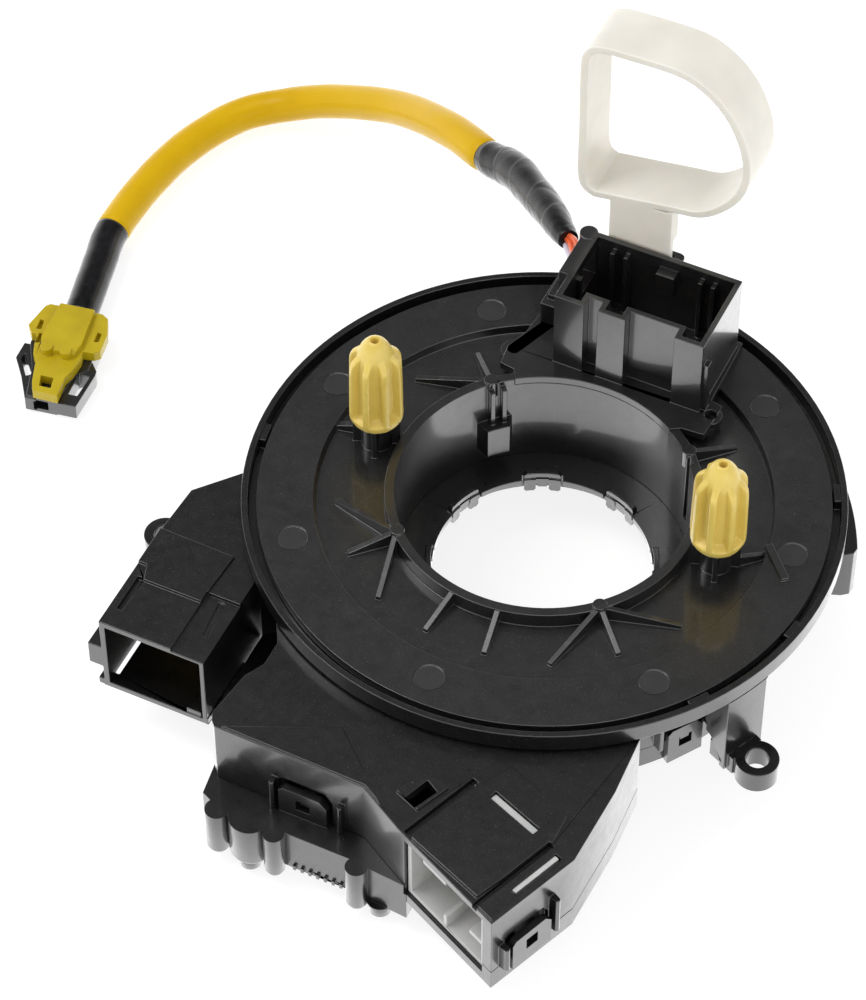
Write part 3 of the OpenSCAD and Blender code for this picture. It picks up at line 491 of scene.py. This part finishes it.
def metal(name, colour, rough):
    m, nt, p = new_mat(name)
    g = G(nt)
    col = g.mix(g.ramp(g.noise(1.5, 4), 0.3, 0.7), colour, tuple(c * 0.8 for c in colour[:3]) + (1,))
    nt.links.new(col, p.inputs["Base Color"])
    p.inputs["Metallic"].default_value = 1.0
    nt.links.new(g.ramp(g.noise(0.6, 3), 0.3, 0.7, rough - 0.05, rough + 0.1), p.inputs["Roughness"])
    nt.links.new(g.bump(g.noise(0.2, 2), 0.2, 0.01), p.inputs["Normal"])
    return m


MAT["terminal_metal"] = metal("terminal_metal", lin(214, 190, 130), 0.28)
MAT["magnet_grey"] = metal("magnet_grey", lin(110, 110, 114), 0.45)


def tape_material():
    m, nt, p = new_mat("tape_black")
    g = G(nt)
    n = g.noise(3.5, 4, 0.6, 0.4)
    col = g.mix(g.ramp(n, 0.35, 0.7), lin(9, 9, 10), lin(20, 20, 22))
    speck = g.dust(1.1, 0.08, 0.25, 5.0)
    col = g.mix(g.math("MULTIPLY", speck, 0.5), col, lin(150, 152, 158))
    nt.links.new(col, p.inputs["Base Color"])
    nt.links.new(g.ramp(g.noise(1.2, 3), 0.3, 0.7, 0.24, 0.38), p.inputs["Roughness"])
    p.inputs["Coat Weight"].default_value = 0.2
    p.inputs["Specular IOR Level"].default_value = 0.3
    p.inputs["Coat Roughness"].default_value = 0.2
    h = g.math("ADD", g.noise(0.9, 4, 0.65, 0.8), g.math("MULTIPLY", g.noise(0.22, 2), 0.3))
    nt.links.new(g.bump(h, 0.35, 0.06), p.inputs["Normal"])
    return m


MAT["tape_black"] = tape_material()


def shrink_material():
    m, nt, p = new_mat("shrink_black")
    g = G(nt)
    col = g.mix(g.ramp(g.noise(4, 3), 0.35, 0.7), lin(12, 12, 13), lin(24, 24, 27))
    col = g.mix(g.math("MULTIPLY", g.dust(1.3, 0.07, 0.3, 8.0), 0.5), col, lin(150, 152, 156))
    nt.links.new(col, p.inputs["Base Color"])
    nt.links.new(g.ramp(g.noise(1.5, 3), 0.3, 0.7, 0.2, 0.32), p.inputs["Roughness"])
    p.inputs["Coat Weight"].default_value = 0.15
    p.inputs["Specular IOR Level"].default_value = 0.25
    p.inputs["Coat Roughness"].default_value = 0.12
    nt.links.new(g.bump(g.noise(1.1, 3, 0.5, 0.3), 0.25, 0.06), p.inputs["Normal"])
    return m


MAT["shrink_black"] = shrink_material()

core.data.materials.append(MAT["sheath_yellow"])
tape.data.materials.append(MAT["tape_black"])
shrink.data.materials.append(MAT["shrink_black"])
for key in ("wire_orange", "wire_lilac", "wire_pink", "terminal_metal"):
    wires.data.materials.append(MAT[key])


# ------------------------------------------------------------------ bushes
def bush(name, node, side):
    """Ribbed post cap: one closed surface, radius by angle and height."""
    lo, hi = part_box(node)
    cx, cy, z0 = side * 33.2, 0.0, 28.1
    top = (hi.z / MM) - z0

    fin = [(0, 4.2), (0.25, 4.5), (0.7, 4.75), (1.3, 4.95), (2.0, 5.08), (4, 5.1), (10, 5.0), (13.6, 4.92), (15.0, 4.8),
           (15.7, 4.55), (16.2, 4.2), (16.7, 3.7), (17.1, 3.25), (17.4, 3.0), (top, 1.0)]
    body = [(0, 4.15), (0.25, 4.45), (0.7, 4.7), (1.3, 4.85), (2.0, 4.86), (2.35, 4.2), (2.8, 3.55), (6, 3.45), (14, 3.38),
            (16, 3.3), (17.0, 3.15), (17.8, 2.9), (18.5, 2.6), (19.1, 2.25), (19.6, 1.85), (19.95, 1.45), (top, 1.0)]
    zs = [0, 0.08, 0.2, 0.45, 0.8, 1.2, 1.6, 1.9, 2.1, 2.25, 2.4, 2.6, 2.85, 3.2] + [4 + i * 0.9 for i in range(10)] \
        + [13, 13.6, 14.2, 14.7, 15.1, 15.5, 15.9, 16.3, 16.6, 16.9, 17.2, 17.5, 17.9, 18.4, 18.9, 19.3, 19.6, 19.85, 20.05, top]
    m = 8 * 26
    rings = []
    for z in zs:
        rf, rb = lerp(z, fin), lerp(z, body)
        ring = []
        for k in range(m):
            a = 2 * math.pi * k / m
            d = (math.degrees(a) - 4) % 45
            d = min(d, 45 - d)
            across = math.sin(math.radians(d)) * rf
            w = 1 / (1 + math.exp((across - 0.72) / 0.05))
            soft = 0.10 * (across / 0.8) ** 2 * w
            r = max(rb, rb + (max(rf, rb) - rb) * w - soft)
            ring.append((cx + r * math.cos(a), cy + r * math.sin(a), z0 + z))
        rings.append(ring)
    # the small hole in the top, and the open foot that the post fills
    for r, z in ((0.8, top - 0.06), (0.72, top - 0.4), (0.7, top - 1.6)):
        rings.append([(cx + r * math.cos(2 * math.pi * k / m), cy + r * math.sin(2 * math.pi * k / m), z0 + z)
                      for k in range(m)])
    rings = [[(c * MM) for c in map(Vector, ring)] for ring in rings]
    me = grid_mesh(name, rings)
    o = link_new(name, me)
    o.data.materials.append(MAT["bush_yellow"])
    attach(o, "rotor")
    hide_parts(node)
    return o


bush("left_bush_cap", "left_bush", -1)
bush("right_bush_cap", "right_bush", 1)


# ------------------------------------------------------------------ CAD nodes
def tidy_group():
    """Joins the faces' seams, and shades smoothly from the geometry alone."""
    ng = bpy.data.node_groups.new("tidy", "GeometryNodeTree")
    ng.interface.new_socket("Geometry", in_out="INPUT", socket_type="NodeSocketGeometry")
    ng.interface.new_socket("Geometry", in_out="OUTPUT", socket_type="NodeSocketGeometry")
    gi, go = ng.nodes.new("NodeGroupInput"), ng.nodes.new("NodeGroupOutput")
    rem = ng.nodes.new("GeometryNodeRemoveAttribute")
    rem.inputs["Name"].default_value = "custom_normal"
    mer = ng.nodes.new("GeometryNodeMergeByDistance")
    mer.inputs["Distance"].default_value = 2e-6
    smo = ng.nodes.new("GeometryNodeSetShadeSmooth")
    ng.links.new(gi.outputs[0], rem.inputs["Geometry"])
    ng.links.new(rem.outputs[0], mer.inputs["Geometry"])
    ng.links.new(mer.outputs[0], smo.inputs["Geometry"])
    ng.links.new(smo.outputs[0], go.inputs[0])
    return ng


TIDY = tidy_group()
BEVEL = {"upper_case": 0.16, "base_cover": 0.06,"harness_connector": 0.14, "rotor_disc": 0.14,
         "tower_housing": 0.12, "hub_sleeve": 0.12, "shipping_lock": 0.22, "squib_body": 0.14,
         "squib_cover": 0.12, "wire_cover": 0.12, "drive_ring_gear": 0.06, "sensor_gear_a": 0.05,
         "sensor_gear_b": 0.05, "gear_lid": 0.08, "gear_carrier": 0.08, "sensor_board": 0.0,
         "sensor_chips": 0.04, "outer_terminal_block": 0.1, "inner_terminal_block": 0.1,
         "harness_pins": 0.04, "socket_pins": 0.04, "tower_pins": 0.04, "ribbon_cable": 0.0,
         "magnet_a": 0.06, "magnet_b": 0.06}
SLOTS = {s["node"]: s["material_slot"] for s in frame["record"]["subparts"]}

for name, o in N.items():
    if o.hide_render:
        continue
    o.data.materials.clear()
    o.data.materials.append(MAT[SLOTS[name]])
    gn = o.modifiers.new("tidy", "NODES")
    gn.node_group = TIDY
    if name != "hub_sleeve":
        d = o.modifiers.new("flat", "DECIMATE")
        d.decimate_type = "DISSOLVE"
        d.angle_limit = math.radians(0.6)
    w = BEVEL.get(name, 0.1)
    if w:
        b = o.modifiers.new("edges", "BEVEL")
        b.width = w * MM
        b.segments = 2
        b.limit_method = "ANGLE"
        b.angle_limit = math.radians(32)
        b.use_clamp_overlap = False
        b.harden_normals = True
        b.miter_outer = "MITER_ARC"


# ------------------------------------------------------------------ stage
def floor():
    me = bpy.data.meshes.new("floor")
    s = 6.0
    z = cad_lo.z - 0.00002
    me.from_pydata([(-s, -s, z), (s, -s, z), (s, s, z), (-s, s, z)], [], [(0, 1, 2, 3)])
    o = link_new("floor", me)
    m = bpy.data.materials.new("floor")
    m.use_nodes = True
    nt = m.node_tree
    nt.nodes.clear()
    out = nt.nodes.new("ShaderNodeOutputMaterial")
    path = nt.nodes.new("ShaderNodeLightPath")

    def emission(v):
        n = nt.nodes.new("ShaderNodeEmission")
        n.inputs["Strength"].default_value = v
        return n.outputs[0]

    def pick(key, a, b):
        n = nt.nodes.new("ShaderNodeMixShader")
        nt.links.new(path.outputs[key], n.inputs[0])
        nt.links.new(a, n.inputs[1])
        nt.links.new(b, n.inputs[2])
        return n.outputs[0]

    # white paper to the camera, with a faint shadow; a bright field to the part
    dif = nt.nodes.new("ShaderNodeBsdfDiffuse")
    dif.inputs["Color"].default_value = (0.36, 0.36, 0.36, 1)
    both = nt.nodes.new("ShaderNodeAddShader")
    nt.links.new(dif.outputs[0], both.inputs[0])
    nt.links.new(emission(0.80), both.inputs[1])
    seen = pick("Is Camera Ray", emission(0.95), both.outputs[0])
    nt.links.new(pick("Is Glossy Ray", seen, emission(2.1)), out.inputs["Surface"])
    me.materials.append(m)


floor()


def world():
    w = bpy.data.worlds.new("studio")
    scene.world = w
    w.use_nodes = True
    nt = w.node_tree
    nt.nodes.clear()
    out = nt.nodes.new("ShaderNodeOutputWorld")
    tc = nt.nodes.new("ShaderNodeTexCoord")
    sep = nt.nodes.new("ShaderNodeSeparateXYZ")
    nt.links.new(tc.outputs["Generated"], sep.inputs[0])
    ramp = nt.nodes.new("ShaderNodeValToRGB")
    nt.links.new(sep.outputs[2], ramp.inputs[0])
    els = ramp.color_ramp.elements
    els[0].position, els[0].color = 0.0, (1.9, 1.9, 1.9, 1)
    els[1].position, els[1].color = 1.0, (3.2, 3.2, 3.2, 1)
    for pos, v in ((0.22, 1.6), (0.45, 0.5), (0.62, 0.14), (0.8, 0.16), (0.9, 0.45), (0.965, 2.6)):
        e = els.new(pos)
        e.color = (v, v, v, 1)
    glossy = nt.nodes.new("ShaderNodeBackground")
    nt.links.new(ramp.outputs[0], glossy.inputs["Color"])
    soft_ramp = nt.nodes.new("ShaderNodeValToRGB")
    nt.links.new(sep.outputs[2], soft_ramp.inputs[0])
    els = soft_ramp.color_ramp.elements
    els[0].position, els[0].color = 0.0, (1.15, 1.15, 1.15, 1)
    els[1].position, els[1].color = 1.0, (0.55, 0.55, 0.55, 1)
    e = els.new(0.5)
    e.color = (0.8, 0.8, 0.8, 1)
    soft = nt.nodes.new("ShaderNodeBackground")
    nt.links.new(soft_ramp.outputs[0], soft.inputs["Color"])
    path = nt.nodes.new("ShaderNodeLightPath")
    mixs = nt.nodes.new("ShaderNodeMixShader")
    nt.links.new(path.outputs["Is Glossy Ray"], mixs.inputs[0])
    nt.links.new(soft.outputs[0], mixs.inputs[1])
    nt.links.new(glossy.outputs[0], mixs.inputs[2])
    nt.links.new(mixs.outputs[0], out.inputs["Surface"])


world()


def area(name, at, to, size, watts, spec=1.0):
    d = bpy.data.lights.new(name, "AREA")
    d.shape, d.size, d.energy = "DISK", size, watts
    d.specular_factor = spec
    o = bpy.data.objects.new(name, d)
    scene.collection.objects.link(o)
    o.location = at
    o.rotation_mode = "QUATERNION"
    o.rotation_quaternion = (Vector(to) - Vector(at)).to_track_quat("-Z", "Y")
    return o


area("key", (-0.55, -0.15, 0.95), (0, 0, 0), 0.55, 4.5, 0.6)
area("fill", (0.8, -0.6, 0.5), (0, 0, 0), 0.7, 2.0, 0.6)

scene.view_settings.view_transform = "Standard"
